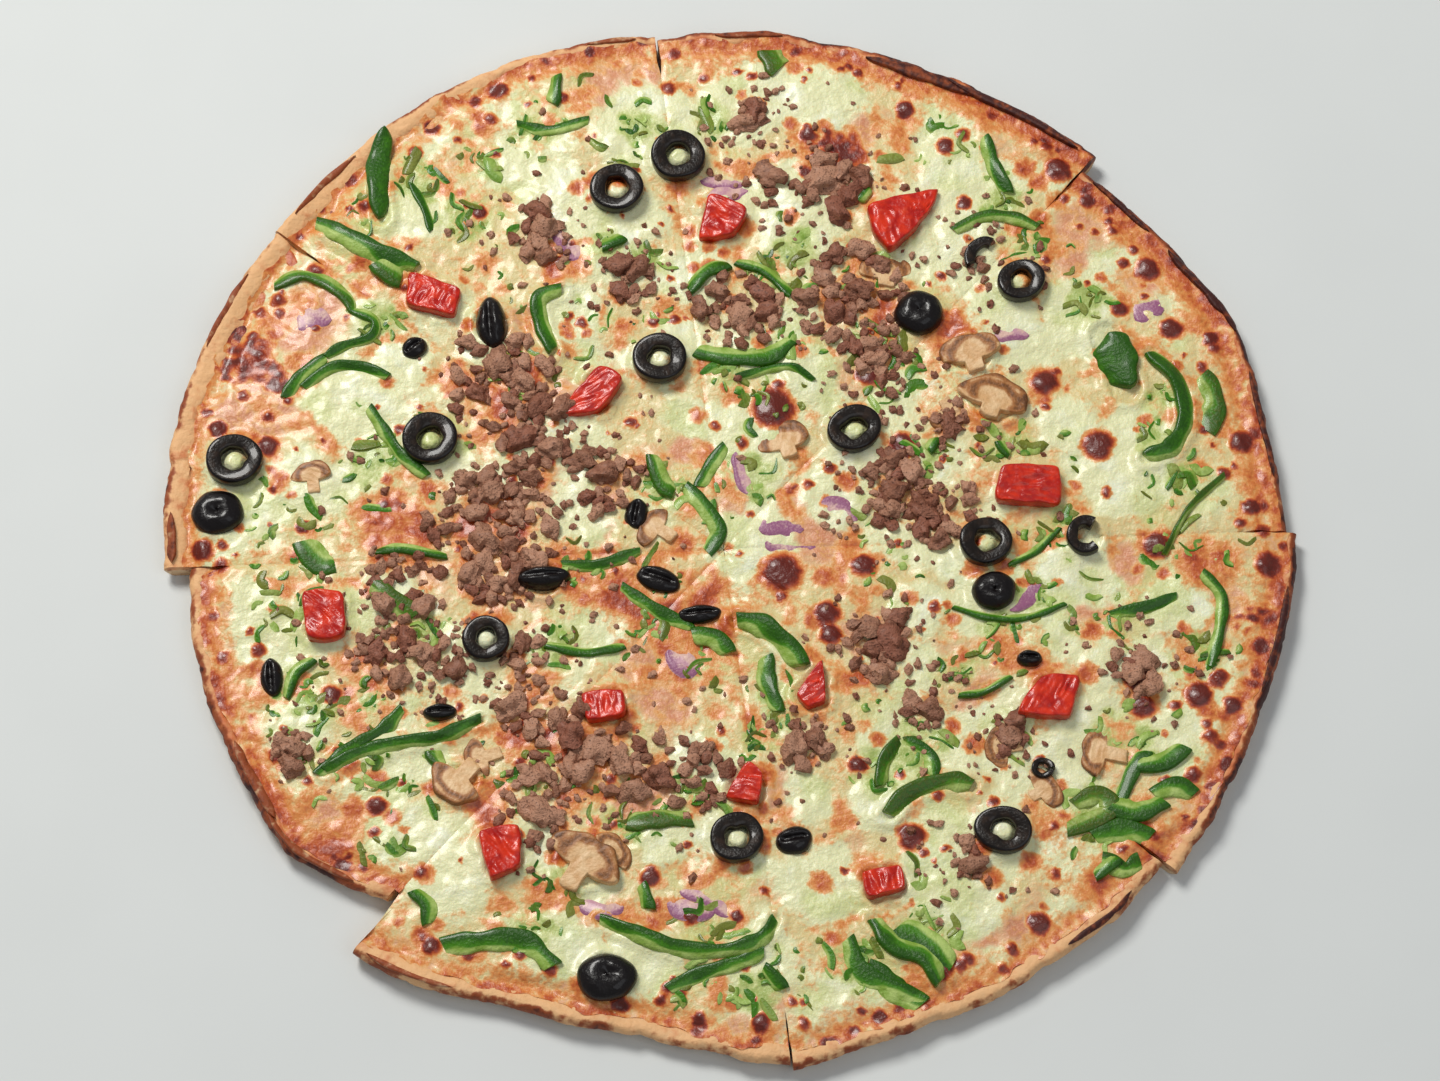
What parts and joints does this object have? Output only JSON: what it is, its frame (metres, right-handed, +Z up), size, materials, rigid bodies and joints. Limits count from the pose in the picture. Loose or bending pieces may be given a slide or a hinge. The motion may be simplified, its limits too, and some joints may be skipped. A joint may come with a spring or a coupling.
{
  "type": "pan pizza",
  "caption": "Round thin-crust pizza cut into wedge slices that still lie together, with melted cheese, olive rings, tomato, green pepper, mushroom and crumbled beef.",
  "frame": {"origin": "middle of the underside's box, on the surface that the pizza lies on", "axes": "+Z up through the toppings; -Y towards the viewer of the picture; +X to that viewer's right"},
  "size_m": [0.3066, 0.3024, 0.0129],
  "materials": {
    "crust": "baked dough, dry and matt, browned at the lip",
    "cheese": "melted cheese, soft shine, with browned blisters",
    "olive": "wet black olive skin and flesh",
    "tomato": "roasted tomato with wet, wrinkled skin",
    "pepper": "green pepper with glossy skin and paler cut edges",
    "mushroom": "cooked mushroom, soft sheen",
    "beef": "crumbled cooked beef, rough",
    "onion": "red onion slivers, soft shine"
  },
  "bodies": {
    "root": {"crust_slice_1": "crust", "crust_slice_2": "crust", "crust_slice_3": "crust", "crust_slice_4": "crust", "crust_slice_5": "crust", "crust_slice_6": "crust", "crust_slice_7": "crust", "crust_slice_8": "crust", "cheese_slice_1": "cheese", "cheese_slice_2": "cheese", "cheese_slice_3": "cheese", "cheese_slice_4": "cheese", "cheese_slice_5": "cheese", "cheese_slice_6": "cheese", "cheese_slice_7": "cheese", "cheese_slice_8": "cheese", "olive_01": "olive", "olive_02": "olive", "olive_03": "olive", "olive_04": "olive", "olive_05": "olive", "olive_06": "olive", "olive_07": "olive", "olive_08": "olive", "olive_09": "olive", "olive_10": "olive", "olive_11": "olive", "olive_12": "olive", "olive_13": "olive", "olive_14": "olive", "olive_15": "olive", "olive_16": "olive", "olive_17": "olive", "olive_18": "olive", "tomato_01": "tomato", "tomato_02": "tomato", "tomato_03": "tomato", "tomato_04": "tomato", "tomato_05": "tomato", "tomato_06": "tomato", "tomato_07": "tomato", "tomato_08": "tomato", "tomato_09": "tomato", "tomato_10": "tomato", "tomato_11": "tomato", "tomato_12": "tomato", "pepper_01": "pepper", "pepper_02": "pepper", "pepper_03": "pepper", "pepper_04": "pepper", "pepper_05": "pepper", "pepper_06": "pepper", "pepper_07": "pepper", "pepper_08": "pepper", "pepper_09": "pepper", "pepper_10": "pepper", "mushroom_01": "mushroom", "mushroom_02": "mushroom", "mushroom_03": "mushroom", "mushroom_04": "mushroom"}
  },
  "joints": []
}
